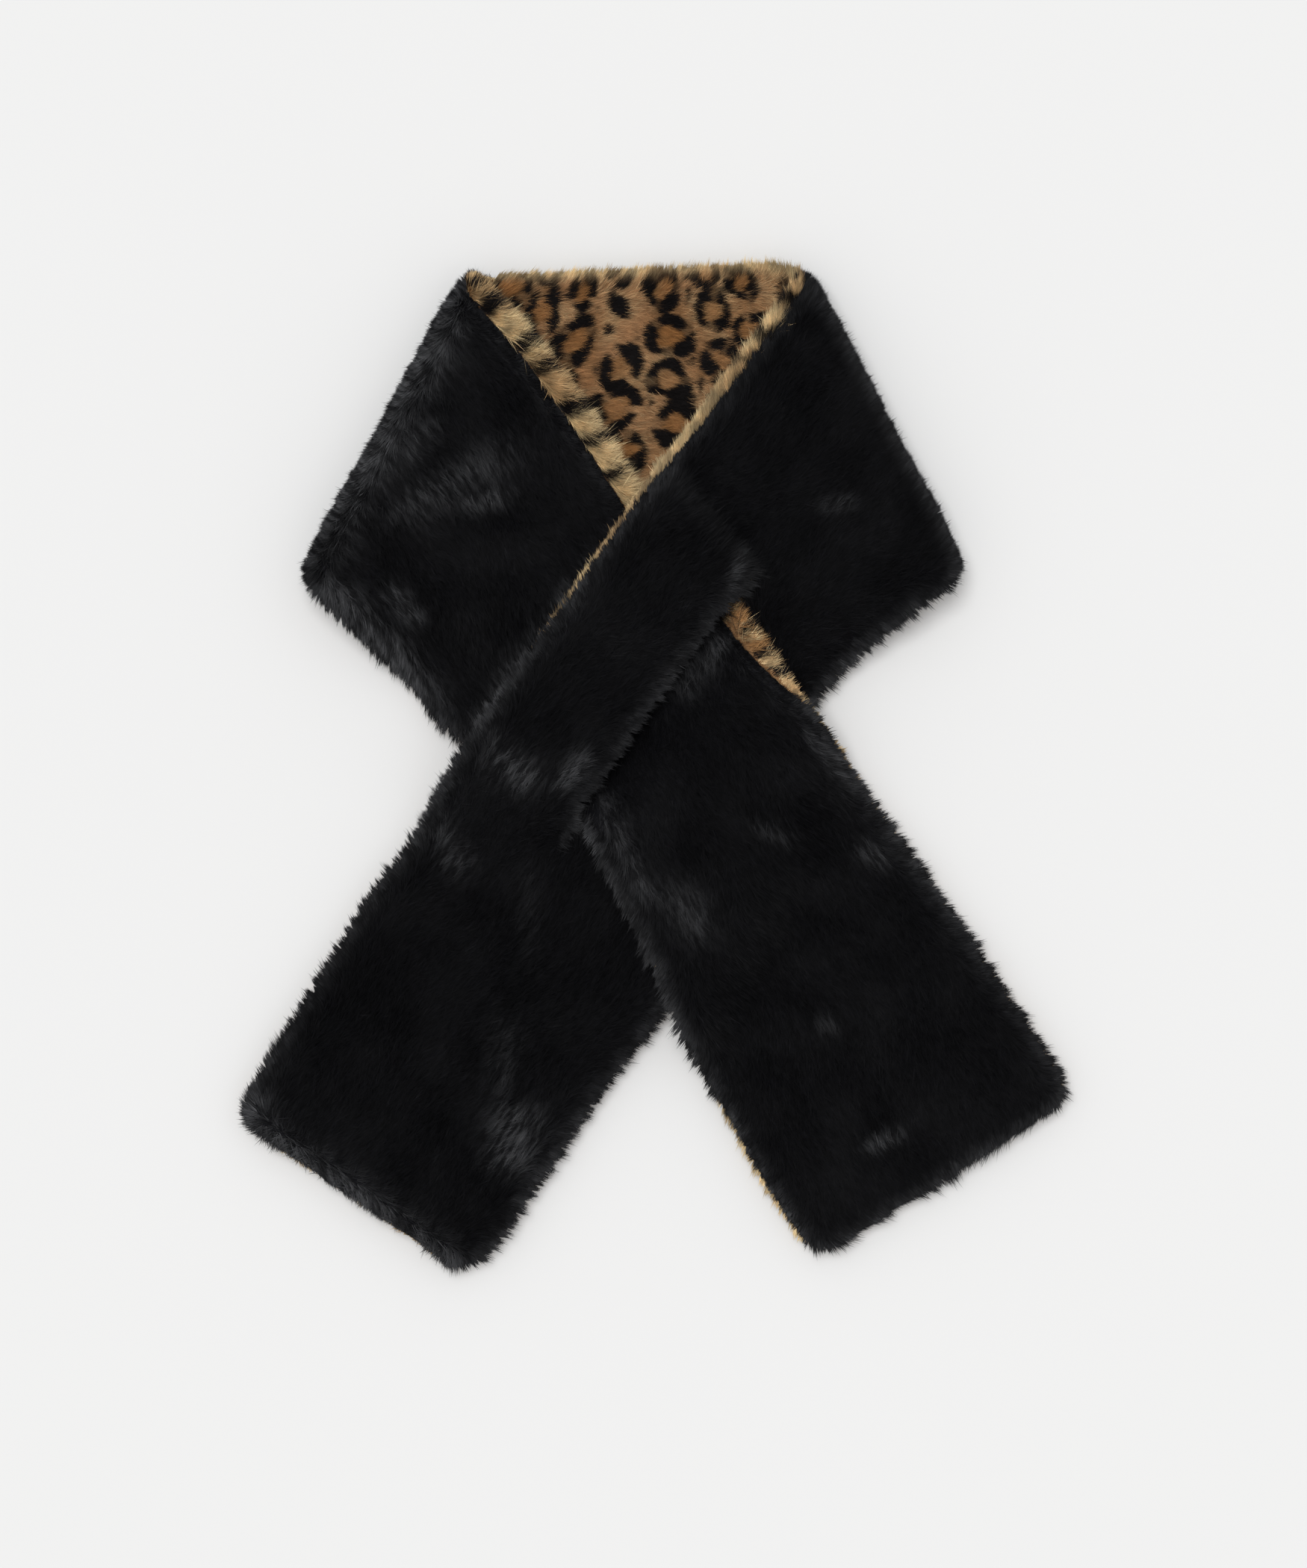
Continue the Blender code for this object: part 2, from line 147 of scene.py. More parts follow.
# Where the black pile lies flat and shines, its shine painted into the hairs' colour as grey: x, y, half
# length, half width, angle, strength
SHEEN = (
    (-127.5, 173, 82, 12.5, 61.7, 1.6),
    (-136, 64, 46, 9, -48, 1.1),
    (-97, 136, 36, 9, 29, 0.6),
    (-80, 129, 13, 5, 15, 0.85),
    (-114, 155, 18, 6, 55, 0.5),
    (-120.5, 78.5, 12, 6, -50, 0.9),
    (-67.5, 0, 16, 8, -35, 1),
    (-38, -2, 13, 6, 55, 0.95),
    (-80, 15, 14, 6, -40, 0.5),
    (-55, 66, 50, 4.5, 54, 0.5),
    (-99.5, -36, 18, 7, -60, 0.6),
    (30, 57.5, 18, 6, 50, 0.75),
    (17, 44.5, 12, 8, 60, 0.5),
    (40.5, 94, 12, 3, 75, 0.65),
    (-21, -27.5, 18, 8, -62, 0.65),
    (-8, -52.5, 16, 7, -62, 0.55),
    (17, -69.5, 16, 9, -50, 0.5),
    (89, 2.5, 22, 5, -52, 0.85),
    (106, -42, 10, 5, -30, 0.5),
    (59, -32, 12, 4, -20, 0.35),
    (112.5, -180, 10, 4, 27, 0.95),
    (85, -125, 6, 5, 0, 0.35),
    (89, 127.5, 9, 4, 5, 0.5),
    (-67, -179, 17, 12, 82, 1.1),
    (-72, -141, 20, 8, 85, 0.35),
    (-60, -70, 24, 6, 88, 0.15),
    (-199, -162, 20, 11, -60, 1.4),
    (-148.5, -210, 72, 10.5, -34.6, 1.65),
)
SHEEN_SHARE = 0.75  # of those strengths
# Painted sheen along the black face's edges: its strength, and how far in it reaches
RIM_SHEEN = 0.62  # strength along the edges
RIM_WIDE = 11.0

# Edges where the leopard pile shows past the black: from x, y to x, y and how much
SHOWN_EDGES = (
    (63, 238, 2, 148, 1),
    (2, 148, -24, 108, 0.6),
    (-24, 108, -50, 74, 0.25),
    (34, -168, 68, -221, 0.9),
    (-176, -190, -111, -228, 0.35),
    (84, 24, 97, 4, 0.5),
)
SHOWN_REACH = 11.0  # from those lines

# ---- colours, linear
BLACK_HAIR = np.array((0.0046, 0.0046, 0.0056))
# Painted sheen: the grey mixed into the black hairs where they lie flat and along the edges
PAINTED_SHEEN_GREY = np.array((0.150, 0.152, 0.160))
CARAMEL = np.array((0.50, 0.27, 0.125))
BLONDE = np.array((0.86, 0.67, 0.37))
BROWN = np.array((0.40, 0.18, 0.055))
SPOT = np.array((0.009, 0.007, 0.007))

# The pile. Hairs to a square millimetre, their length and their width at the root
COATS = {
    "black": (4.3, 8.0, 0.43),
    "leopard": (11.8, 8.6, 0.34),
    "rolled": (14.0, 8.4, 0.30),
    "fringe": (14.0, 15.5, 0.30),
}
UNDERSIDE = 1.0  # hairs to a square millimetre where the pile faces down
UNDER_WIDE = 0.55  # their width
SHOWN_MORE = 6.0  # how many times more of them stand on an edge that shows
# The nap's way: 1 is towards the stretch's end, -1 towards its start
NAP = {"neck": 1.0, "left_arm": 1.0, "right_tail": 1.0, "right_arm": -1.0, "left_tail": -1.0}
STRAND = 0.6  # width and length of a strand in the fine noise
STRAND_LONG = 3.6
SEEN = 0.7  # the part of a hair's length that shows the place it lies over
LOCK = 2.0  # the small and the big locks' size
LOCK_BIG = 3.8
RAGGED = 3.4  # from tip to gap along the tails' ends
# The share of guard hairs, which are less in line than the rest, and how many times longer and wider they are
GUARDS = (0.07, 1.4, 1.4)
ROLL_SLANT = 0.85  # how far along the turned edge its hairs run for each step across
FOLD_REACH = 24.0  # along the arms, how far the pile still grows as on the fold
LOWEST = 0.12  # the least height of a hair's root and tip
RAY = 70.0  # how far the search for covered places looks

# The bars across a turned edge: from bar to bar, each shade's length, how brown the shades get, how pale the
# rest is, and how far across the edge the bars run
Bars = namedtuple("Bars", "pitch shade brown pale reach")
BARS = {"left_arm": Bars(17.0, 23.0, 0.4, 0.9, 0.75), "right_tail": Bars(15.5, 9.0, 0.8, 0.7, 1.3)}
ROSETTE = (27.5, 23.0)  # from one rosette to the next, along and across
SMALL_SPOT = 13.5
NEIGHBOURS = [(i, j) for i in (-1, 0, 1) for j in (-1, 0, 1)]


# ---- small helpers
def limit(t):
    return np.clip(t, 0.0, 1.0)


def smooth(t):
    """From 0 to 1 on a soft curve."""
    t = limit(t)
    return t * t * (3.0 - 2.0 * t)


def fade(t):
    """From 1 to 0 on the same curve."""
    return 1.0 - smooth(t)


def mix(a, b, share):
    return a * (1 - share) + b * share


def unit(v):
    return v / np.maximum(np.linalg.norm(v, axis=-1, keepdims=True), 1e-9)


def curve(rows, t):
    """A row between the rows of a table, on a smooth curve through them."""
    rows = np.asarray(rows, float)
    last = len(rows) - 1
    t = min(max(t, 0.0), float(last))
    i = min(int(t), last - 1)
    f = t - i
    p1 = rows[i]
    p2 = rows[i + 1]
    p0 = rows[i - 1] if i > 0 else 2 * p1 - p2
    p3 = rows[i + 2] if i + 2 <= last else 2 * p2 - p1
    a = 2 * p1
    b = p2 - p0
    c = 2 * p0 - 5 * p1 + 4 * p2 - p3
    d = 3 * p1 - p0 - 3 * p2 + p3
    return 0.5 * (a + b * f + c * f * f + d * f**3)


def off_line(x, y, ax, ay, bx, by):
    """Distance of points from the straight line between two places."""
    dx = bx - ax
    dy = by - ay
    t = limit(((x - ax) * dx + (y - ay) * dy) / (dx * dx + dy * dy))
    return np.hypot(x - ax - t * dx, y - ay - t * dy)


def beside(x, y, line):
    """Signed distance of points from a polyline, positive on its left."""
    best = np.full(np.shape(x), FAR)
    signed = np.zeros(np.shape(x))
    for (ax, ay), (bx, by) in zip(line[:-1], line[1:]):
        far = off_line(x, y, ax, ay, bx, by)
        side = np.where((bx - ax) * (y - ay) - (by - ay) * (x - ax) >= 0.0, 1.0, -1.0)
        near = far < best
        signed = np.where(near, side * far, signed)
        best = np.where(near, far, best)
    return signed


def edge_line(rows, first):
    """One edge of a table of rows as a smooth line, its x in this column."""
    steps = 6
    count = (len(rows) - 1) * steps
    return [tuple(curve(rows, k / steps)[first : first + 2]) for k in range(count + 1)]


def chance(i, j, salt):
    """A number from 0 to 1 for each pair of whole numbers, always the same."""
    i = np.asarray(i).astype(np.int64)
    j = np.asarray(j).astype(np.int64)
    h = (i * 73856093) ^ (j * 19349663) ^ (salt * 83492791)
    h = (h ^ (h >> 13)) * 1274126177
    h = (h ^ (h >> 16)) & 0xFFFFFF
    return h / float(0xFFFFFF)


def wander(x, y, size, salt):
    """Smooth noise from -1 to 1 with hills about this size."""
    gx = np.floor(x / size)
    gy = np.floor(y / size)
    fx = smooth(x / size - gx)
    fy = smooth(y / size - gy)
    low = mix(chance(gx, gy, salt), chance(gx + 1, gy, salt), fx)
    high = mix(chance(gx, gy + 1, salt), chance(gx + 1, gy + 1, salt), fx)
    return 2.0 * mix(low, high, fy) - 1.0


def strands(along, across, salt):
    """Noise from -1 to 1 drawn out along the hairs."""
    return wander(along * STRAND / STRAND_LONG, across, STRAND, salt)


def locks(u, v, size, salt):
    """The nearest lock's middle on a scattered lattice: the way to it, and two numbers of its own."""
    gu = np.floor(u / size)
    gv = np.floor(v / size)
    best = np.full(len(u), FAR)
    way = np.zeros((len(u), 2))
    own = np.zeros((len(u), 2))
    for i, j in NEIGHBOURS:
        r = [chance(gu + i, gv + j, salt + k) for k in range(4)]
        cu = (gu + i + r[0]) * size - u
        cv = (gv + j + r[1]) * size - v
        far = np.hypot(cu, cv)
        near = far < best
        best = np.where(near, far, best)
        way[near] = np.column_stack([cu, cv])[near]
        own[near] = np.column_stack(r[2:])[near]
    return way, own


# ---- where each stretch lies
ARM_UPPER = edge_line(LEFT_ARM, 0)
ARM_LOWER = edge_line(LEFT_ARM, 2)[8:]  # the part that can lie under the crossing
R_OUTER = edge_line(RIGHT_ARM, 4) + edge_line(LEFT_TAIL, 2)[1:]
SLIT_TOP = np.array(RIGHT_ARM[SLIT_ROW][2:4])
SLIT_END = np.array(RIGHT_ARM[-1][2:4])
SLIT_LONG = float(np.hypot(*(SLIT_END - SLIT_TOP)))
SLIT_DIR = (SLIT_END - SLIT_TOP) / SLIT_LONG
SLIT_SIDE = np.array([-SLIT_DIR[1], SLIT_DIR[0]])


def slit_place(x, y):
    """How far along the slit and how far across it a point is."""
    px = x - SLIT_TOP[0]
    py = y - SLIT_TOP[1]
    return px * SLIT_DIR[0] + py * SLIT_DIR[1], px * SLIT_SIDE[0] + py * SLIT_SIDE[1]


def opening(along):
    """How far apart the slit's halves are."""
    share = limit(along / SLIT_LONG)
    return SLIT_OPEN * smooth((share - 0.07) / 0.25) * smooth((0.95 - share) / 0.28)


def flat_floor(x, y):
    return np.zeros(np.shape(x))


def off_neck(y):
    """What lies over the neck stretch comes down to the surface below it."""
    return FIRST * fade((NECK_LOW - y - DROP_START) / DROP)


def floor_left_band(x, y):
    """Under the left band: the neck stretch, then the right arm's half beyond the slit."""
    along, across = slit_place(x, y)
    rise = smooth((across + 10.0) / (opening(along) + 20.0))
    off = fade((beside(x, y, R_OUTER) - 2.0) / 30.0)
    return off_neck(y) + SECOND * rise * off


def floor_right_inner(x, y):
    """Under the right arm's half that crosses over: the neck stretch, then the left band."""
    _, across = slit_place(x, y)
    run = CROSS_RUN + CROSS_EASE * smooth(-across / EASE_SIDE)
    upper = fade((beside(x, y, ARM_UPPER) - 1.0) / CROSS_RUN)
    lower = fade((-beside(x, y, ARM_LOWER) - 1.0) / run)
    return off_neck(y) + SECOND * upper * lower


def floor_right_outer(x, y):
    """Under its half beyond the slit, which comes down beside the slit."""
    along, _ = slit_place(x, y)
    low = off_neck(y)
    return low + fade(along / SLIT_EASE) * (floor_right_inner(x, y) - low)


def creases(x, y):
    """How far the cloth is let down in its troughs."""
    down = np.zeros(np.shape(x))
    for *ends, wide, deep in CREASES:
        down = down + deep * np.exp(-((off_line(x, y, *ends) / wide) ** 2))
    return down + 0.7 * wander(x, y, 34.0, 90) + 0.35 * wander(x, y, 15.0, 91)


class Stretch:
    """Rows across one stretch of the band, from edge a to edge b."""

    def __init__(self, floor):
        self.floor = floor
        self.rows = []

    def add(self, a, b, share=1.0, out=(0.0, 0.0), left=FAR, turn=0.0):
        """One row: its ends, its share of a fold's half turn and the fold's way out, how far it is from the
        band's end or along the slit, and how wide its edge is turned up."""
        self.rows.append((a, b, math.pi * (share - 0.5), out, left, turn))

    def close(self, start=0.0):
        """Makes arrays of the rows, and measures along them from here."""
        columns = (np.array(column, float) for column in zip(*self.rows))
        self.a, self.b, self.angle, self.out, self.left, self.turn = columns
        self.long = np.linalg.norm(self.b - self.a, axis=1)
        middle, _ = self.place(self.long[:, None] / 2.0)
        step = np.linalg.norm(np.diff(middle[:, 0], axis=0), axis=1)
        self.along = start + np.concatenate([[0.0], np.cumsum(step)])
        return self

    def place(self, at):
        """Points of the seam's surface at these distances from edge a, and the way up from it."""
        flat = self.a[:, None] + (self.b - self.a)[:, None] * (at / self.long[:, None])[..., None]
        rise = self.floor(flat[..., 0], flat[..., 1]) / 2.0
        turned = self.angle[:, None]
        height = FACE + rise + rise * np.sin(turned)
        level = np.cos(turned)
        moved = flat + self.out[:, None] * (FIRST / 2.0 * level)[..., None]
        mid = np.concatenate([moved, height[..., None]], axis=2)
        tip = self.out[:, None] * level[..., None]
        up = np.concatenate([tip, np.sin(turned)[..., None]], axis=2)
        return mid, np.broadcast_to(up, mid.shape)


def turn_width(share):
    return TAIL_TURN + (ARM_TURN - TAIL_TURN) * float(share)


def tail_stretch(table, floor, start, turned):
    """Rows of a tail, to an end with rounded corners."""
    rows = Stretch(floor)
    last = len(table) - 1
    long = sum(np.hypot(*(np.subtract(q, p)[0:2])) for p, q in zip(table[:-1], table[1:]))
    spans = int(long / STEP)
    end = np.asarray(table[-1], float)
    before = curve(table, last - 0.5)
    aim = unit((end - before)[0:2] + (end - before)[2:4])
    places = [(curve(table, (last - 0.35) * k / spans), FAR) for k in range(spans + 1)]
    for short in (9.0, 5.0, 2.4, 0.8, 0.0):
        left = INSET + short
        places.append((end - np.concatenate([aim, aim]) * left, left))
    first = places[0][0][0:2]
    radius = CORNER - INSET
    for ends, left in places:
        a = ends[0:2]
        b = ends[2:4]
        if left - INSET < radius:
            inset = radius - math.sqrt(radius**2 - (radius - left + INSET) ** 2)
            across = unit(b - a)
            a = a + across * inset
            b = b - across * inset
        gone = float(np.hypot(*(a - first)))
        rows.add(a, b, left=left, turn=turn_width(fade(gone / TAIL_TURN_RUN)) if turned else 0.0)
    return rows.close(float(start))


def neck_stretch():
    rows = Stretch(flat_floor)
    left, right = np.array(NECK)
    for k in range(NECK_ROWS + 1):
        ends = left + (right - left) * (k / NECK_ROWS)
        rows.add(ends[0:2], ends[2:4])
    return rows.close()


def fold_rows(neck, arm):
    """The ends of the rows round a fold, and their shares of its half turn."""
    neck = np.array(neck)
    shares = [k / FOLD_ROWS for k in range(FOLD_ROWS)]
    return [(neck + (arm - neck) * share, share) for share in shares]


def left_arm_stretch():
    rows = Stretch(floor_left_band)
    for ends, share in fold_rows(NECK[0], LEFT_ARM[0]):
        rows.add(ends[0:2], ends[2:4], share, LEFT_OUT, turn=turn_width(smooth(share)))
    for k in range(ARM_ROWS + 1):
        ends = curve(LEFT_ARM, (len(LEFT_ARM) - 1) * k / ARM_ROWS)
        rows.add(ends[0:2], ends[2:4], turn=ARM_TURN)
    return rows.close()


def right_arm_stretches():
    """The half that crosses over and the half beyond the slit, on the same rows."""
    near = Stretch(floor_right_inner)
    beyond = Stretch(floor_right_outer)
    upper, lower = np.array(NECK[1]).reshape(2, 2)
    rows = fold_rows(np.concatenate([upper, (upper + lower) / 2.0, lower]), RIGHT_ARM[0])
    rows += [(curve(RIGHT_ARM, SLIT_ROW * k / SHOULDER_ROWS), 1.0) for k in range(SHOULDER_ROWS)]
    slits = int(SLIT_LONG / STEP)
    span = len(RIGHT_ARM) - 1 - SLIT_ROW
    rows += [(curve(RIGHT_ARM, SLIT_ROW + span * k / slits), 1.0) for k in range(slits + 1)]
    for ends, share in rows:
        a, s, b = ends.reshape(3, 2)
        folded = share < 1.0
        along = -1.0 if folded else float((s - SLIT_TOP) @ SLIT_DIR)
        if not folded and along >= -1.0:
            s = SLIT_TOP + SLIT_DIR * along
        wide = opening(along)
        inset = unit(b - a) * (INSET * smooth(wide / 9.0))
        out = RIGHT_OUT if folded else (0.0, 0.0)
        near.add(a, s - inset, share, out, along)
        beyond.add(s + SLIT_SIDE * wide + inset, b, share, out, along)
    return near.close(), beyond.close()


# ---- cloth shells
def spread(first, last, count):
    """Places from first to last for each row, closer together near both."""
    t = np.linspace(0.0, 1.0, count)
    t = 0.55 * t + 0.45 * (0.5 - 0.5 * np.cos(math.pi * t))
    return first[:, None] + (last - first)[:, None] * t


def swell(e):
    """A round edge's height, from 0 at the edge to 1."""
    part = limit(e / CORE_ROLL)
    return np.sqrt(1.0 - (1.0 - part) ** 2)


def cloth_half(*edges):
    """One face's cloth, thinner near each of these edges."""
    more = CORE - CORE_LIP
    for e in edges:
        more = more * swell(e)
    return CORE_LIP + more


def wall(mid, up, side, half, inside):
    """A face's outer and inner points, let down in the creases. A lower face gives way a little."""
    down = creases(mid[..., 0], mid[..., 1]) * smooth(inside / CREASE_FADE)
    if side > 0:
        shift = np.maximum(np.minimum(down, half - CORE_LIP * 0.8), -CREASE_RISE)
    else:
        shift = -np.clip(down * 0.4, -UNDER_SHIFT, UNDER_SHIFT)
    return mid + up * (side * (half - shift))[..., None], mid + up * (side * SEAM / 2.0)


def across_way(rows, mid):
    """The way from edge a to edge b at each point."""
    across = np.zeros(mid.shape)
    across[..., 0:2] = unit(rows.b - rows.a)[:, None]
    return across


def end_edge(rows):
    """How far inside the band's end each row lies."""
    return np.maximum(rows.left[:, None] - INSET, 0.0)


def fold_edge(rows):
    """How far inside the outline each row of a fold lies."""
    return np.where(rows.angle < math.pi / 2.0, THICK * (1.0 - np.cos(rows.angle)), FAR)[:, None]


def fold_fan(rows):
    """Leans the pile of a fold outwards."""
    way = FOLD_FAN * np.concatenate([rows.out, np.zeros((len(rows.long), 1))], axis=1)
    return (way * fade((fold_edge(rows) - 6.0) / 9.0))[:, None]


def fan_weight(e):
    return fade(e / 13.0)


class Patch:
    """A grid on one plush face with all that its hairs need to know, in the columns named below. Band is 1
    on a turned-up edge of the leopard face, and on the black face along edges that neither open outwards
    nor shine. Kind is there when the coat isn't the face's own."""

    def __init__(self, points, up, u, v, fan, edge, band=0.0, kind=None):
        self.kind = kind
        du = np.gradient(points, axis=0)
        dv = np.gradient(points, axis=1)
        normal = np.cross(du, dv)
        if float((normal * up).sum()) < 0:
            normal = -normal
        shape = points.shape[:2]
        more = [np.broadcast_to(x, shape)[..., None] for x in (u, v, edge, band, 1.0)]
        self.data = np.concatenate([points, unit(normal), fan, unit(du), unit(dv)] + more, axis=2)


# Place, way out of the cloth, way an edge turns the pile, and the ways along and across
P, N, FAN, DU, DV = (slice(k, k + 3) for k in (0, 3, 6, 9, 12))
X, Y = 0, 1
UP = 5  # the height of the way out
# Distances along, across and from the edge, the band, and how open the place is
U, V, EDGE, BAND, OPEN = range(15, 20)


def put_in_scene(name, data):
    thing = bpy.data.objects.new(name, data)
    bpy.context.scene.collection.objects.link(thing)
    return thing


def signed_volume(points, faces):
    a, b, c, d = (points[faces[:, k]] for k in range(4))
    return float((np.cross(a, b) * c).sum() + (np.cross(a, c) * d).sum()) / 6.0


def closed_shell(name, grids, outer, inner, material):
    """A closed wall between an outer and an inner surface that share their cells."""
    quads = [np.stack([g[:-1, :-1], g[:-1, 1:], g[1:, 1:], g[1:, :-1]], axis=-1) for g in grids]
    cells = np.concatenate([q.reshape(-1, 4) for q in quads])
    count = len(outer)
    sides = {}
    for k in range(4):
        sides.update(dict.fromkeys(zip(cells[:, k].tolist(), cells[:, (k + 1) % 4].tolist())))
    rim = [(q, p, p + count, q + count) for p, q in sides if (q, p) not in sides]
    faces = np.concatenate([cells, cells[:, ::-1] + count, np.array(rim)])
    points = np.vstack([outer, inner])
    mesh = bpy.data.meshes.new(name)
    mesh.from_pydata((points * MM).tolist(), [], faces.tolist())
    mesh.validate()
    if signed_volume(points, faces) < 0:
        mesh.flip_normals()
    mesh.polygons.foreach_set("use_smooth", [True] * len(mesh.polygons))
    mesh.materials.append(material)
    return put_in_scene(name, mesh)


def one_shell(name, outer, inner, material):
    """A closed shell from two grids of points."""
    index = np.arange(outer[..., 0].size).reshape(outer.shape[:2])
    return closed_shell(name, [index], outer.reshape(-1, 3), inner.reshape(-1, 3), material)


def plain_cloth(name, rows, side, material):
    """One face's cloth, and the patch its hairs stand on."""
    first = np.maximum(rows.turn + 0.3, INSET)
    last = rows.long - INSET
    at = spread(first, last, COLUMNS)
    mid, up = rows.place(at)
    near_a = at - first[:, None]
    near_b = last[:, None] - at
    left = end_edge(rows)
    inside = np.minimum(np.minimum(near_a, near_b), np.minimum(left, fold_edge(rows)))
    outer, inner = wall(mid, up, side, cloth_half(near_a, near_b, left), inside)
    seamed = smooth((first[:, None] - INSET) / 3.0)
    sideways = fan_weight(near_b) - fan_weight(near_a) * (1.0 - 0.8 * seamed)
    ahead = unit(np.gradient(mid, axis=0)) * fan_weight(left)[..., None]
    fan = across_way(rows, mid) * sideways[..., None] + ahead + fold_fan(rows)
    quiet = seamed * fan_weight(near_a)
    patch = Patch(outer, up * side, rows.along[:, None], at, fan, inside, quiet)
    return one_shell(name, outer, inner, material), [patch]


def turning_cloth(name, rows, side, material):
    """The leopard face with its turned-up edge."""
    first = INSET + (TURN_INSET - INSET) * smooth((rows.turn - 2.0) / 5.0)
    last = rows.long - INSET
    width = np.maximum(rows.turn - first, 0.6)
    turn = first[:, None] + width[:, None] * np.array(TURN_STEPS)
    rest = spread(first + width + SEAM, last, COLUMNS - 1)[:, 1:]
    at = np.concatenate([turn, rest], axis=1)
    mid, up = rows.place(at)
    near_a = at - first[:, None]
    near_b = last[:, None] - at
    left = end_edge(rows)
    half = cloth_half(near_a, near_b, left)
    low, _ = wall(mid, up, side, half, np.minimum(near_b, left))
    raised = slice(0, len(TURN_STEPS) - 1)
    seam_dip = 1.0 - 0.45 * np.exp(-(((turn[:, -1:] - at) / 2.5) ** 2))
    top = np.full(at.shape, -SEAM / 2.0)
    top[:, raised] = ((half + 0.8 * swell(near_a)) * seam_dip)[:, raised]
    high = mid + up * top[..., None]
    across = across_way(rows, mid)
    ahead = unit(np.gradient(mid, axis=0)) * fan_weight(left)[..., None]
    fan = across * (fan_weight(near_b) - fan_weight(near_a))[..., None] + ahead
    inside = np.minimum(np.minimum(near_a, near_b), left)
    along = rows.along[:, None]
    under = Patch(low, up * side, along, -at, fan, inside)
    band = smooth((rows.turn - 2.5) / 8.5) * smooth((rows.angle + 0.2) / 1.7)
    top, up, out, v, edge = (x[:, raised] for x in (high, up, -across * 0.8, at, inside))
    roll = Patch(top, up, along, v, out, edge, band[:, None], "rolled")
    return one_shell(name, low, high, material), [under, roll]


def right_arm_cloth(name, halves, side, material):
    """The right arm's cloth, one sheet above the slit and two halves below it."""
    near, beyond = halves
    bare = pale_edge(near) if side > 0 else np.zeros(len(near.long))
    spans = ((INSET + bare, near.long), (np.zeros(len(bare)), beyond.long - INSET))
    at_slit = smooth(near.left / 10.0) * smooth((SLIT_LONG - near.left) / 10.0)
    outers = []
    inners = []
    patches = []
    for rows, (start, stop) in zip(halves, spans):
        at = spread(start, stop, SLIT_COLUMNS)
        mid, up = rows.place(at)
        free = at - start[:, None]
        slit = stop[:, None] - at
        if rows is beyond:
            free, slit = slit, free
        slit = slit + CREASE_FADE * (1.0 - at_slit)[:, None]
        inside = np.minimum(np.minimum(free, slit), fold_edge(near))
        outer, inner = wall(mid, up, side, cloth_half(free, slit), inside)
        sideways = (fan_weight(free) - fan_weight(slit)) * (-1.0 if rows is near else 1.0)
        fan = across_way(rows, mid) * sideways[..., None] + fold_fan(near)
        quiet = 0.0
        if rows is near and side > 0:
            seamed = smooth((start[:, None] - INSET) / 3.0)
            quiet = np.maximum(seamed * fan_weight(free), 0.8 * fan_weight(slit))
        v = at if rows is near else near.long[:, None] + at
        patches.append(Patch(outer, up * side, near.along[:, None], v, fan, inside, quiet))
        if rows is near and side < 0:
            patches.append(fringe_patch(near))
        outers.append(outer.reshape(-1, 3))
        inners.append(inner.reshape(-1, 3))
    count = len(outers[0])
    cells = np.arange(count).reshape(-1, SLIT_COLUMNS)
    more = cells + count
    joined = near.left <= 0.0
    more[joined, 0] = cells[joined, -1]
    used = np.zeros(2 * count, bool)
    used[cells] = True
    used[more] = True
    number = np.cumsum(used) - 1
    outer = np.vstack(outers)[used]
    inner = np.vstack(inners)[used]
    return closed_shell(name, [number[cells], number[more]], outer, inner, material), patches


def fringe_patch(rows):
    """The narrow strip along the right arm's inner edge where the leopard pile stands up past the black."""
    wide = pale_edge(rows)[:, None]
    at = INSET + wide * np.array((0.0, 0.5, 1.0))
    mid, up = rows.place(at)
    band = 0.35 * (wide / PALE_EDGE)
    out = -across_way(rows, mid) * 0.9
    return Patch(mid + up * 0.6, up, rows.along[:, None], at, out, at - INSET + 3.0, band, "fringe")


def pale_edge(rows):
    """How far the black cloth stays back from the right arm's inner edge, for each row."""
    y = rows.a[:, 1]
    share = (0.15 + 0.85 * smooth((y - 110.0) / 120.0)) * smooth((y - 60.0) / 40.0)
    return PALE_EDGE * share * smooth((rows.angle + 0.6) / 1.6)


# ---- hairs
def faces_down(data):
    return smooth((-data[..., UP] - 0.2) / 0.5)


def open_share(patches, tree):
    """Marks how open to the outside each point of a patch is, so that no hair is spent under a layer."""
    for patch in patches:
        data = patch.data
        flat = data.reshape(-1, data.shape[2])
        normal = unit(flat[:, N] + 0.9 * flat[:, FAN])
        base = (flat[:, P] + normal * 1.2).tolist()
        ways = [normal]
        for side in (flat[:, DU], -flat[:, DU], flat[:, DV], -flat[:, DV]):
            ways.append(unit(normal * 0.6 + side))
        seen = np.zeros(len(flat))
        for way in ways:
            hits = [tree.ray_cast(Vector(p), Vector(d), RAY) for p, d in zip(base, way.tolist())]
            seen += [place is None for place, *_ in hits]
        flat[:, OPEN] = limit(seen / 2.0)
        patch.data = flat.reshape(data.shape)


def scatter(patch, density, leopard, rng):
    """Roots strewn over a patch, with every number of the grid read between its points."""
    data = patch.data
    a, b, c, d = data[:-1, :-1], data[:-1, 1:], data[1:, 1:], data[1:, :-1]
    area = 0.5 * np.linalg.norm(np.cross(c[..., P] - a[..., P], d[..., P] - b[..., P]), axis=-1)
    mean = (a + b + c + d) / 4.0
    down = faces_down(mean)
    rim = 1.0 + 0.7 * fade(mean[..., EDGE] / 5.0)
    under = UNDERSIDE
    if leopard:
        edge = fade(mean[..., EDGE] / 9.0)
        under = UNDERSIDE * (1.0 + SHOWN_MORE * shown(mean[..., X], mean[..., Y]) * edge)
    weight = area * mean[..., OPEN] * mix(density * rim, under, down)
    count = int(weight.sum())
    if count < 1:
        return np.zeros((0, data.shape[2]))
    cell = rng.choice(weight.size, count, p=(weight / weight.sum()).ravel())
    row, col = np.divmod(cell, weight.shape[1])
    s = rng.random((count, 1))
    t = rng.random((count, 1))
    low = mix(data[row, col], data[row + 1, col], s)
    high = mix(data[row, col + 1], data[row + 1, col + 1], s)
    return mix(low, high, t)


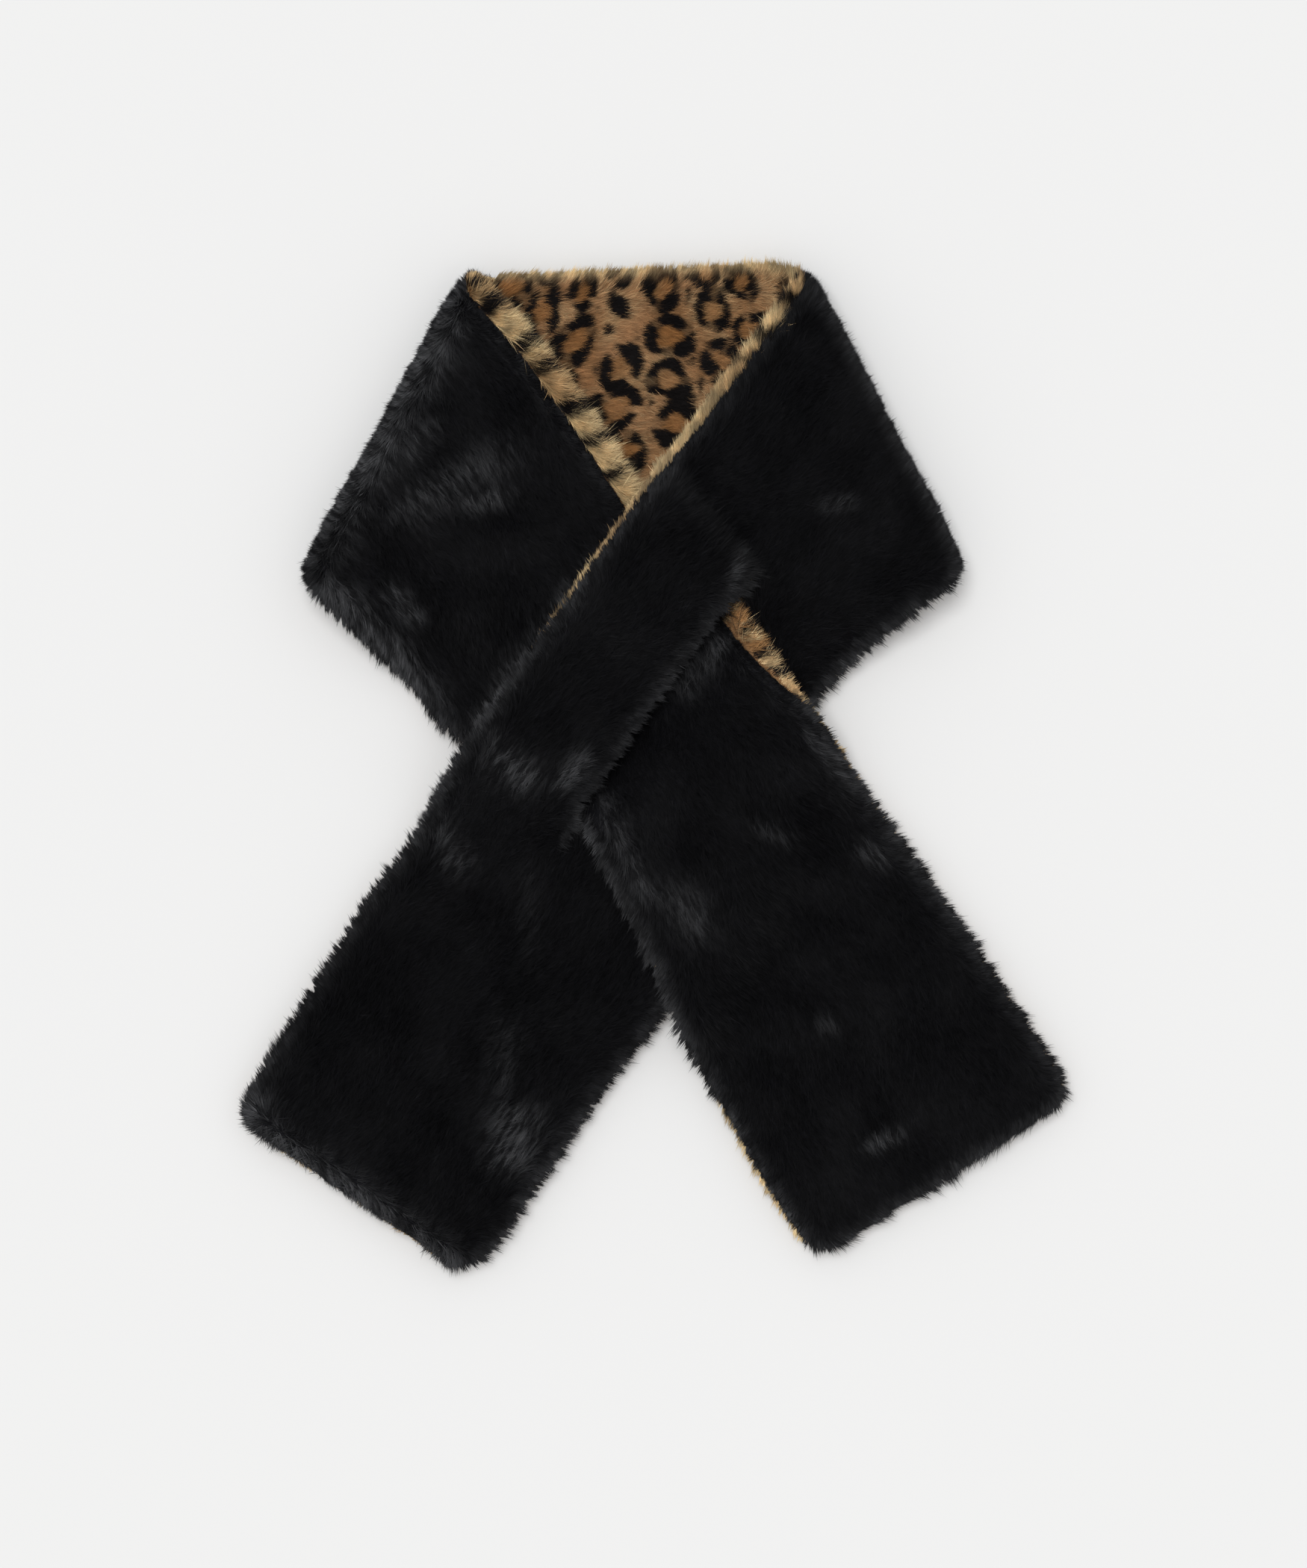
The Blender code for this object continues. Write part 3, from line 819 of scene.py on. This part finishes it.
class Coat:
    """How the hairs at these roots grow. Nap is their way along the cloth as (along, across), lift turns the
    hairs of an edge up, calm is the share of the locks' own ways, outward is how strongly the hairs of an
    edge lean out, and share, longer and wider tell of the guard hairs."""

    def __init__(self, stretch, roots, long, wide):
        count = len(roots)
        self.down = faces_down(roots)
        self.edge = fade(roots[:, EDGE] / 12.0)
        self.show = shown(roots[:, X], roots[:, Y]) * self.edge
        self.nap = np.tile((NAP[stretch], 0.12), (count, 1))
        self.lean = 0.98 + 0.3 * self.down
        self.length = np.full(count, long)
        self.wide = wide + (UNDER_WIDE - wide) * self.down
        self.lift = np.zeros(count)
        self.calm = np.ones(count)
        self.outward = np.zeros(count)
        self.share, self.longer, self.wider = GUARDS


def comb_black(coat, roots, stretch):
    """The black pile turns out along its open edges, and lies down where it shines."""
    x, y, band = roots[:, X], roots[:, Y], roots[:, BAND]
    coat.outward = OUTWARD * (1.0 - limit(0.75 * band + 0.8 * coat.show))
    if stretch.endswith("arm"):
        fold = fade((roots[:, U] - FOLD_REACH) / 12.0)
        coat.calm = 1.0 - 0.5 * fold
        coat.outward *= 1.0 - 0.2 * fold
        coat.length *= 1.0 + 0.12 * fold
        coat.share = coat.share * (1.0 - 0.7 * fold)
        if stretch == "left_arm":
            coat.outward *= 0.3 + 0.7 * fold
    coat.lean += 0.22 * limit(sheen_at(x, y))
    coat.length *= 1.0 - 0.4 * coat.edge * coat.down
    coat.length *= 1.0 - 0.6 * coat.show
    if stretch in ("left_arm", "right_tail"):
        seamed = limit(band)
        tousle = wander(x, y, 5.0, 75)
        coat.nap[:, 1] -= 0.55 * seamed * (1.0 + tousle)
        coat.length *= 1.0 - (0.42 - 0.3 * tousle) * seamed


def comb_turned(coat, roots, stretch, rng):
    """The leopard pile of a turned-up edge runs out over the edge, and over the seam on its inner side."""
    inner = smooth((roots[:, EDGE] - 4.0) / 5.0)
    over_seam = 0.5 * wander(roots[:, X], roots[:, Y], 6.0, 74)
    coat.nap[:, 1] = -0.85 + (1.1 + over_seam) * inner
    coat.lean = 1.12 - 0.45 * inner + rng.normal(0.0, 0.12, len(roots))
    coat.length *= 0.4 + 0.6 * roots[:, BAND]
    coat.calm *= 0.45
    if stretch != "right_arm":
        coat.length *= 0.55 + 0.55 * smooth(roots[:, EDGE] / 7.0)
        coat.share, coat.longer, coat.wider = 0.16 * (1.0 - inner), 2.2, 1.1
    if stretch == "right_tail":
        coat.nap[:, 0] = 0.15
        coat.nap[:, 1] = -1.3 + (0.5 + 1.6 * over_seam) * inner
        coat.length *= 0.8
        coat.lift = 0.25 * (1.0 - inner)
        coat.calm *= 0.55
        coat.share, coat.longer, coat.wider = 0.06 * (1.0 - inner), 2.7, 1.2


def grow(roots, coat, rng, salt):
    """Root, tip and half width of each hair."""
    count = len(roots)
    calm = coat.calm
    p = roots[:, P]
    x, y, u, v = (roots[:, k] for k in (X, Y, U, V))
    normal = roots[:, N] + 1.3 * roots[:, FAN]
    normal[:, 2] += coat.lift
    normal = unit(normal)
    small, own = locks(u, v, LOCK, 11 + salt)
    big, big_own = locks(u, v, LOCK_BIG, 31 + salt)
    near_edge = fade(roots[:, EDGE] / 9.0)
    swirl = 0.35 * wander(x, y, 26.0, 51) + calm * (0.45 * (own[:, 0] - 0.5) + 0.3 * (big_own[:, 0] - 0.5))
    guard = rng.random(count) < coat.share
    stray = np.where(guard, 1.6, 1.0) * rng.normal(0.0, 0.3 - 0.14 * calm, count)
    turn = np.arctan2(coat.nap[:, 1], coat.nap[:, 0]) + swirl + stray
    flow = roots[:, DU] * np.cos(turn)[:, None] + roots[:, DV] * np.sin(turn)[:, None]
    flow = flow + roots[:, FAN] * coat.outward[:, None]
    flow = unit(flow - normal * (flow * normal).sum(1, keepdims=True))
    slope = np.clip(flow[:, 2], -0.5, 0.5) * (1.0 - near_edge)
    tilt = coat.lean + slope + 0.16 * (own[:, 1] - 0.5) + 0.22 * wander(x, y, 18.0, 52)
    tilt = np.clip(tilt + rng.normal(0.0, 0.12, count) - 0.5 * near_edge, 0.15, 1.42)
    way = normal * np.cos(tilt)[:, None] + flow * np.sin(tilt)[:, None]
    uneven = calm * (0.2 * (own[:, 1] - 0.5) + 0.2 * (big_own[:, 1] - 0.5)) * (1.0 + 1.3 * near_edge)
    size = coat.length * (0.93 + uneven) * (1.0 - rng.uniform(-0.1, 0.28, count) * (1.0 - 0.5 * near_edge))
    size = size * (1.0 - 0.36 * near_edge) * np.where(guard, coat.longer, 1.0)
    ends = near_edge * limit((roots[:, FAN] * roots[:, DU]).sum(1))
    size = size * (1.0 + ends * (0.2 + 0.6 * wander(v, np.zeros(count), RAGGED, 53)))
    pull_small, pull_big = (roots[:, DU] * to[:, :1] + roots[:, DV] * to[:, 1:] for to in (small, big))
    gather = (calm * (0.14 + 0.26 * near_edge))[:, None]
    tip = p + way * size[:, None] + 0.4 * calm[:, None] * pull_small + gather * pull_big
    root = p - normal * 0.4
    for end in (tip, root):
        end[:, 2] = np.maximum(end[:, 2], LOWEST)
    facing = normal * (1.0 - 0.75 * near_edge)[:, None]
    facing[:, 2] += 0.75 * near_edge
    facing = unit(facing)
    across = np.cross(tip - root, facing)
    twist = rng.uniform(-0.6, 0.6, count)[:, None]
    across = unit(unit(across) * np.cos(twist) + facing * np.sin(twist))
    wide = 0.5 * coat.wide * rng.uniform(0.75, 1.25, count) * np.where(guard, coat.wider, 1.0)
    return root, tip, wide[:, None] * across


# The two hairs of a cell on the map
MAP_HALVES = (((0, 0), (0.84, 0), (0, 0.84)), ((0.84, 0.84), (0.84, 0.1), (0.1, 0.84)))


def hair_mesh(name, root, tip, half, tint, material):
    """One mesh of separate tapered hairs, each with its own colour and its own place on the map."""
    count = len(root)
    points = np.empty((count, 3, 3), np.float32)
    points[:, 0] = (root - half) * MM
    points[:, 1] = (root + half) * MM
    points[:, 2] = tip * MM
    points[..., 2] = np.maximum(points[..., 2], 0.1 * MM)
    mesh = bpy.data.meshes.new(name)
    mesh.vertices.add(count * 3)
    mesh.loops.add(count * 3)
    mesh.polygons.add(count)
    mesh.vertices.foreach_set("co", points.ravel())
    mesh.loops.foreach_set("vertex_index", np.arange(count * 3, dtype=np.int32))
    mesh.polygons.foreach_set("loop_start", np.arange(0, count * 3, 3, dtype=np.int32))
    mesh.update()
    shades = mesh.color_attributes.new("tint", "FLOAT_COLOR", "POINT")
    colour = np.ones((count, 3, 4), np.float32)
    colour[:, :, :3] = tint[:, None]
    shades.data.foreach_set("color", colour.ravel())
    side = int(math.ceil(math.sqrt(count / 2.0)))
    cell = np.arange(count) // 2
    corner = np.stack([cell % side, cell // side], axis=1)[:, None] + 0.08
    mapped = ((corner + np.array(MAP_HALVES)[np.arange(count) % 2]) / side).astype(np.float32)
    mesh.uv_layers.new(name="OFBake").uv.foreach_set("vector", mapped.ravel())
    mesh.materials.append(material)
    return put_in_scene(name, mesh)


# ---- the pile's colours, and the black pile's painted sheen
def sheen_at(x, y):
    """How much the black pile shines, by the places of the table: the strength of its painted sheen, which
    also lays the pile flatter.
    """
    shine = np.zeros(len(x))
    for cx, cy, long, wide, angle, strength in SHEEN:
        c = math.cos(math.radians(angle))
        s = math.sin(math.radians(angle))
        dx = (x - cx) * c + (y - cy) * s
        dy = (y - cy) * c - (x - cx) * s
        shine = np.maximum(shine, SHEEN_SHARE * strength * np.exp(-((dx / long) ** 4) - (dy / wide) ** 2))
    return shine


def shown(x, y):
    """How much the leopard pile shows past the black along the edges."""
    best = np.zeros(np.shape(x))
    for *ends, share in SHOWN_EDGES:
        best = np.maximum(best, share * np.exp(-((off_line(x, y, *ends) / SHOWN_REACH) ** 4)))
    return best


def seen_place(roots, reach, share):
    """The distances along and across the stretch that each hair shows."""
    return [roots[:, k] + share * (reach * roots[:, way]).sum(1) for k, way in ((U, DU), (V, DV))]


def black_tint(roots, reach, rng):
    """Near-black, with painted sheen: grey strands where the pile lies flat and a grey rim."""
    x = roots[:, X] + SEEN * reach[:, 0]
    y = roots[:, Y] + SEEN * reach[:, 1]
    u, v = seen_place(roots, reach, SEEN)
    fine = 0.55 * strands(u, v, 63) + 0.45 * strands(u / 2.0, v / 2.0, 66)
    # The grey is painted sheen, kept to where the pile faces up or sideways: in the table's places and along
    # the edges, drawn out in strands
    streak = smooth(0.42 + 0.3 * wander(x, y, 5.0, 61) + 1.1 * fine)
    upside = smooth((roots[:, UP] + 0.5) / 0.5)
    rim = RIM_SHEEN * fade(roots[:, EDGE] / RIM_WIDE) * (0.7 + 0.3 * wander(x, y, 30.0, 62))
    rim = rim * smooth((roots[:, UP] + 0.4) / 0.3) * (1.0 - 0.75 * limit(roots[:, BAND]))
    shine = np.maximum(sheen_at(x, y) * upside, rim)
    shine = shine * (0.12 + 0.88 * streak) * rng.uniform(0.45, 1.0, len(x))
    base = BLACK_HAIR * (rng.uniform(0.6, 1.5, len(x)) * (1.1 + 0.5 * fine))[:, None]
    shine = limit(shine)[:, None]
    return mix(base, PAINTED_SHEEN_GREY, shine)


def leopard_print(u, v):
    """How dark a place of the print is, and how warm: thick broken rings round warm middles, and spots."""
    dark = np.zeros(len(u))
    warm = np.zeros(len(u))
    clear = np.full(len(u), FAR)
    su = u + 2.2 * wander(u, v, 9.0, 81) + 0.7 * wander(u, v, 3.6, 83)
    sv = v + 2.2 * wander(u, v, 9.0, 82) + 0.7 * wander(u, v, 3.6, 84)
    gu = np.floor(su / ROSETTE[0])
    for i, j in NEIGHBOURS:
        shift = 0.5 * np.mod(gu + i, 2.0)
        gv = np.floor(sv / ROSETTE[1] - shift)
        r = [chance(gu + i, gv + j, 200 + k) for k in range(10)]
        dx = su - (gu + i + 0.5 + 0.3 * (r[0] - 0.5)) * ROSETTE[0]
        dy = sv - (gv + j + 0.5 + shift + 0.3 * (r[1] - 0.5)) * ROSETTE[1]
        turn = (r[2] - 0.5) * 1.9
        px = dx * np.cos(turn) + dy * np.sin(turn)
        py = dy * np.cos(turn) - dx * np.sin(turn)
        ring = r[3] < 0.66
        rx = np.where(ring, 10.2 + 5.2 * r[4], 4.8 + 3.4 * r[4])
        ry = np.where(ring, 8.4 + 3.6 * r[5], 6.2 + 4.0 * r[5])
        around = np.arctan2(py, px)
        far = np.hypot(px / rx, py / ry)
        breaks = np.floor(2.0 + 2.4 * r[8])
        gap = smooth((np.cos(breaks * around + 6.28 * r[9]) - 0.8) / 0.12) * (0.2 + 0.8 * r[6])
        wide = 0.25 + 0.08 * np.cos(2 * around + 6.28 * r[7]) + 0.06 * np.cos(3 * around + 6.28 * r[2])
        line = fade((np.abs(far - 0.77) - wide) / 0.1)
        blob = fade((far - 0.85) / 0.25)
        dark = np.maximum(dark, np.where(ring, line * (1.0 - gap), blob))
        inside = fade((far - 0.45) / 0.25) * (0.45 + 0.5 * r[7])
        warm = np.maximum(warm, np.where(ring, inside, 0.0))
        clear = np.minimum(clear, far * np.where(ring, 1.0, 0.62))
    gu = np.floor(su / SMALL_SPOT)
    gv = np.floor(sv / SMALL_SPOT)
    for i, j in NEIGHBOURS:
        r = [chance(gu + i, gv + j, 230 + k) for k in range(4)]
        dx = su - (gu + i + 0.2 + 0.6 * r[0]) * SMALL_SPOT
        dy = sv - (gv + j + 0.2 + 0.6 * r[1]) * SMALL_SPOT
        far = np.hypot(dx / (3.2 + 2.4 * r[2]), dy / (3.4 + 2.6 * r[3]))
        dark = np.maximum(dark, fade((far - 0.75) / 0.4) * smooth((clear - 1.2) / 0.15))
    ground = 0.3 * smooth(0.4 + 0.9 * wander(u, v, 13.0, 86))
    return dark, np.maximum(warm, ground)


def bar_print(u, share, bars):
    """Dark bars across the turned edge, where share runs from 0 at its outside to 1, and how brown it is."""
    g = np.floor(u / bars.pitch)
    dark = np.zeros(len(u))
    for i in (-1, 0, 1):
        middle = (g + i + 0.5 + 0.5 * (chance(g + i, 7, 301) - 0.5)) * bars.pitch
        wide = 1.5 + 2.0 * chance(g + i, 7, 302)
        reach = chance(g + i, 7, 303)
        strong = smooth((share - 0.9 * reach + bars.reach) / 0.3) * smooth((1.0 + 0.8 * reach - share) / 0.3)
        dark = np.maximum(dark, strong * fade((np.abs(u - middle) - wide) / 1.2))
    return dark, bars.brown * smooth((chance(np.floor(u / bars.shade), 3, 304) - 0.3) / 0.4)


def leopard_tint(roots, reach, show, bars, salt, rng):
    """The print's colour where each hair's upper part lies, its edges blurred a little by the pile."""
    count = len(roots)
    place_u, place_v, edge, turned = (roots[:, k] for k in (U, V, EDGE, BAND))
    u, v = seen_place(roots, reach, SEEN * fade((turned - 0.2) / 0.3))
    u = u + rng.normal(0.0, 0.35, count)
    v = v + rng.normal(0.0, 0.3, count)
    dark, warm = leopard_print(u, v)
    rim = limit(np.maximum(fade(edge / 8.0), 1.3 * show))
    pale = 0.02 + 0.3 * wander(u, v, 11.0, 71) + rng.uniform(-0.2, 0.35, count) + 0.8 * rim
    dark = dark * (1.0 - 0.6 * rim)
    warm = warm * (1.0 - rim)
    band = smooth(turned * 2.5)
    run = place_u + ROLL_SLANT * place_v
    run = run + 2.0 * wander(u, v, 8.0, 72) + 1.2 * wander(u, v, 2.4, 73) + rng.normal(0.0, 0.9, count)
    bar, hot = bar_print(run, edge / (ARM_TURN - TURN_INSET), bars)
    bar = bar * smooth((turned - 0.15) / 0.2)
    fine = mix(strands(u, v, 64), strands(v, run / math.hypot(1.0, ROLL_SLANT), 65), band)
    dark = mix(dark, bar, band)[:, None]
    warm = mix(warm, hot, band)[:, None]
    pale = limit(mix(pale, bars.pale + rng.uniform(-0.35, 0.3, count), band))[:, None]
    tint = mix(mix(mix(CARAMEL, BLONDE, pale), BROWN, warm), SPOT, dark)
    _, own = locks(place_u, place_v, LOCK, 11 + salt)
    tuft = 1.0 + (0.4 + 0.3 * band) * (own[:, 0] - 0.5)
    return tint * (rng.uniform(0.78, 1.08, count) * (1.0 + 0.3 * fine) * tuft)[:, None]


# ---- materials
LOCK_NOISE = 90.0  # cells to a metre
KNIT_NOISE = 260.0


def put(node, values):
    """Sets a node's inputs."""
    for name, value in values.items():
        node.inputs[name].default_value = value


def new_material(name, values):
    """A material, its nodes and its shader's inputs."""
    material = bpy.data.materials.new(name)
    material.use_nodes = True
    shader = material.node_tree.nodes["Principled BSDF"]
    put(shader, values)
    return material, material.node_tree, shader.inputs


def add_noise(tree, scale, detail):
    """Noise on the object's own coordinates."""
    noise = tree.nodes.new("ShaderNodeTexNoise")
    put(noise, {"Scale": scale, "Detail": detail})
    place = tree.nodes.new("ShaderNodeTexCoord")
    tree.links.new(place.outputs["Object"], noise.inputs["Vector"])
    return noise.outputs["Fac"]


def hair_material(name, smoothest, roughest, gloss):
    """Each hair's own colour, with a roughness that varies from lock to lock."""
    material, tree, shader = new_material(name, {"Specular IOR Level": gloss})
    shade = tree.nodes.new("ShaderNodeAttribute")
    shade.attribute_name = "tint"
    tree.links.new(shade.outputs["Color"], shader["Base Color"])
    rough = tree.nodes.new("ShaderNodeMapRange")
    put(rough, {"To Min": smoothest, "To Max": roughest})
    tree.links.new(add_noise(tree, LOCK_NOISE, 3.0), rough.inputs["Value"])
    tree.links.new(rough.outputs["Result"], shader["Roughness"])
    return material


def backing_material(name, dark, light):
    """Knitted backing: fine noise in its colour and a low knit relief."""
    material, tree, shader = new_material(name, {"Roughness": 0.9, "Specular IOR Level": 0.1})
    noise = add_noise(tree, KNIT_NOISE, 5.0)
    ramp = tree.nodes.new("ShaderNodeValToRGB")
    for stop, place, colour in zip(ramp.color_ramp.elements, (0.35, 0.65), (dark, light)):
        stop.position = place
        stop.color = (*colour, 1.0)
    tree.links.new(noise, ramp.inputs["Fac"])
    tree.links.new(ramp.outputs["Color"], shader["Base Color"])
    bump = tree.nodes.new("ShaderNodeBump")
    put(bump, {"Strength": 0.4, "Distance": 0.0006})
    tree.links.new(noise, bump.inputs["Height"])
    tree.links.new(bump.outputs["Normal"], shader["Normal"])
    return material


# ---- the wrap
def make_cloths():
    """The ten cloth shells, each with the patches its hairs stand on."""
    backings = {
        "black": backing_material("black_backing", (0.003, 0.003, 0.004), (0.008, 0.008, 0.010)),
        "leopard": backing_material("leopard_backing", (0.16, 0.08, 0.035), (0.34, 0.19, 0.09)),
    }
    neck = neck_stretch()
    arm = left_arm_stretch()
    right_tail = tail_stretch(RIGHT_TAIL, floor_left_band, arm.along[-1], True)
    halves = right_arm_stretches()
    left_tail = tail_stretch(LEFT_TAIL, floor_right_inner, halves[0].along[-1], False)
    stretches = {
        "neck": (neck, plain_cloth, plain_cloth),
        "left_arm": (arm, plain_cloth, turning_cloth),
        "right_arm": (halves, right_arm_cloth, right_arm_cloth),
        "right_tail": (right_tail, plain_cloth, turning_cloth),
        "left_tail": (left_tail, plain_cloth, plain_cloth),
    }
    made = {}
    for stretch, (rows, upper, lower) in stretches.items():
        faces = ("leopard", "black") if stretch == "neck" else ("black", "leopard")
        for face, make, side in zip(faces, (upper, lower), (1, -1)):
            node = stretch + "_" + face
            made[node] = make(node + "_cloth", rows, side, backings[face])
    return made


def outside_tree(made):
    """All the cloths in one tree for the rays that look for covered places."""
    points = []
    faces = []
    for thing, _ in made.values():
        mesh = thing.data
        start = len(points)
        points += [tuple(c * 1000.0 for c in v.co) for v in mesh.vertices]
        faces += [tuple(start + k for k in p.vertices) for p in mesh.polygons]
    return BVHTree.FromPolygons(points, faces)


def name_number(name):
    """A salt for the noise of each face."""
    return sum(ord(c) * (k + 1) for k, c in enumerate(name)) % 97


def dress(node, patches, materials, rng):
    """The hairs of one face."""
    stretch, face = node.rsplit("_", 1)
    bars = BARS.get(stretch, BARS["left_arm"])
    salt = name_number(node)
    groups = []
    for patch in patches:
        density, long, wide = COATS[patch.kind or face]
        roots = scatter(patch, density, face == "leopard", rng)
        if not len(roots):
            continue
        coat = Coat(stretch, roots, long, wide)
        if face == "black":
            comb_black(coat, roots, stretch)
        elif patch.kind:
            comb_turned(coat, roots, stretch, rng)
        elif stretch == "neck":
            coat.calm *= 0.6
            coat.share = 2.2 * coat.share
            coat.outward += 0.8
        else:
            coat.length *= 1.0 - 0.86 * coat.edge * (1.0 - coat.show)
            coat.lift = 1.3 * coat.show
            coat.outward = 1.5 * coat.show
        root, tip, half = grow(roots, coat, rng, salt)
        if face == "black":
            tint = black_tint(roots, tip - root, rng)
        else:
            tint = leopard_tint(roots, tip - root, coat.show, bars, salt, rng)
        groups.append((root, tip, half, tint))
    root, tip, half, tint = (np.concatenate(x) for x in zip(*groups))
    return hair_mesh(node + "_pile", root, tip, half, tint, materials[face])


def build_wrap():
    rng = np.random.default_rng(20)
    made = make_cloths()
    tree = outside_tree(made)
    materials = {
        "black": hair_material("black_plush", 0.5, 0.75, 0.17),
        "leopard": hair_material("leopard_plush", 0.55, 0.8, 0.2),
    }
    for node, (cloth, patches) in made.items():
        open_share(patches, tree)
        pile = dress(node, patches, materials, rng)
        for piece in (cloth, pile):
            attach(piece, "root")
        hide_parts(node)


# ---- the studio
SCALE = 0.361  # millimetres to a pixel of the picture
PICTURE = (1750.0, 2100.0)  # its pixels
ORIGIN_PIXEL = (874.5, 1029.0)  # where the shared frame's origin is in it
PAPER = (0.895, 0.895, 0.891, 1.0)
SUN = 1.57
SKY = 0.5
LENS = 190.0


def build_floor():
    bpy.ops.mesh.primitive_plane_add(size=8.0)
    floor = bpy.context.object
    floor.name = "floor"
    look = {"Base Color": PAPER, "Roughness": 1.0, "Specular IOR Level": 0.0}
    floor.data.materials.append(new_material("floor_paper", look)[0])


def build_light():
    """A wide soft light almost overhead, and an even white sky."""
    world = bpy.data.worlds.new("studio")
    world.use_nodes = True
    put(world.node_tree.nodes["Background"], {"Color": (1.0, 1.0, 1.0, 1.0), "Strength": SKY})
    bpy.context.scene.world = world
    lamp = bpy.data.lights.new("overhead", "SUN")
    lamp.energy = SUN
    lamp.angle = math.radians(30.0)
    light = put_in_scene("overhead", lamp)
    light.rotation_euler = (math.radians(-9.0), math.radians(-7.0), 0.0)


def build_camera():
    """Straight above, at the picture's scale one layer up."""
    camera = bpy.data.cameras.new("camera")
    camera.lens = LENS
    camera.clip_end = 50.0
    away = camera.lens * PICTURE[1] * SCALE * MM / camera.sensor_width
    x = (PICTURE[0] / 2.0 - ORIGIN_PIXEL[0]) * SCALE * MM
    y = (ORIGIN_PIXEL[1] - PICTURE[1] / 2.0) * SCALE * MM
    eye = put_in_scene("camera", camera)
    eye.location = (x, y, away + THICK * MM)
    bpy.context.scene.camera = eye
    bpy.context.scene.view_settings.view_transform = "Standard"


build_floor()
build_light()
build_camera()
build_wrap()
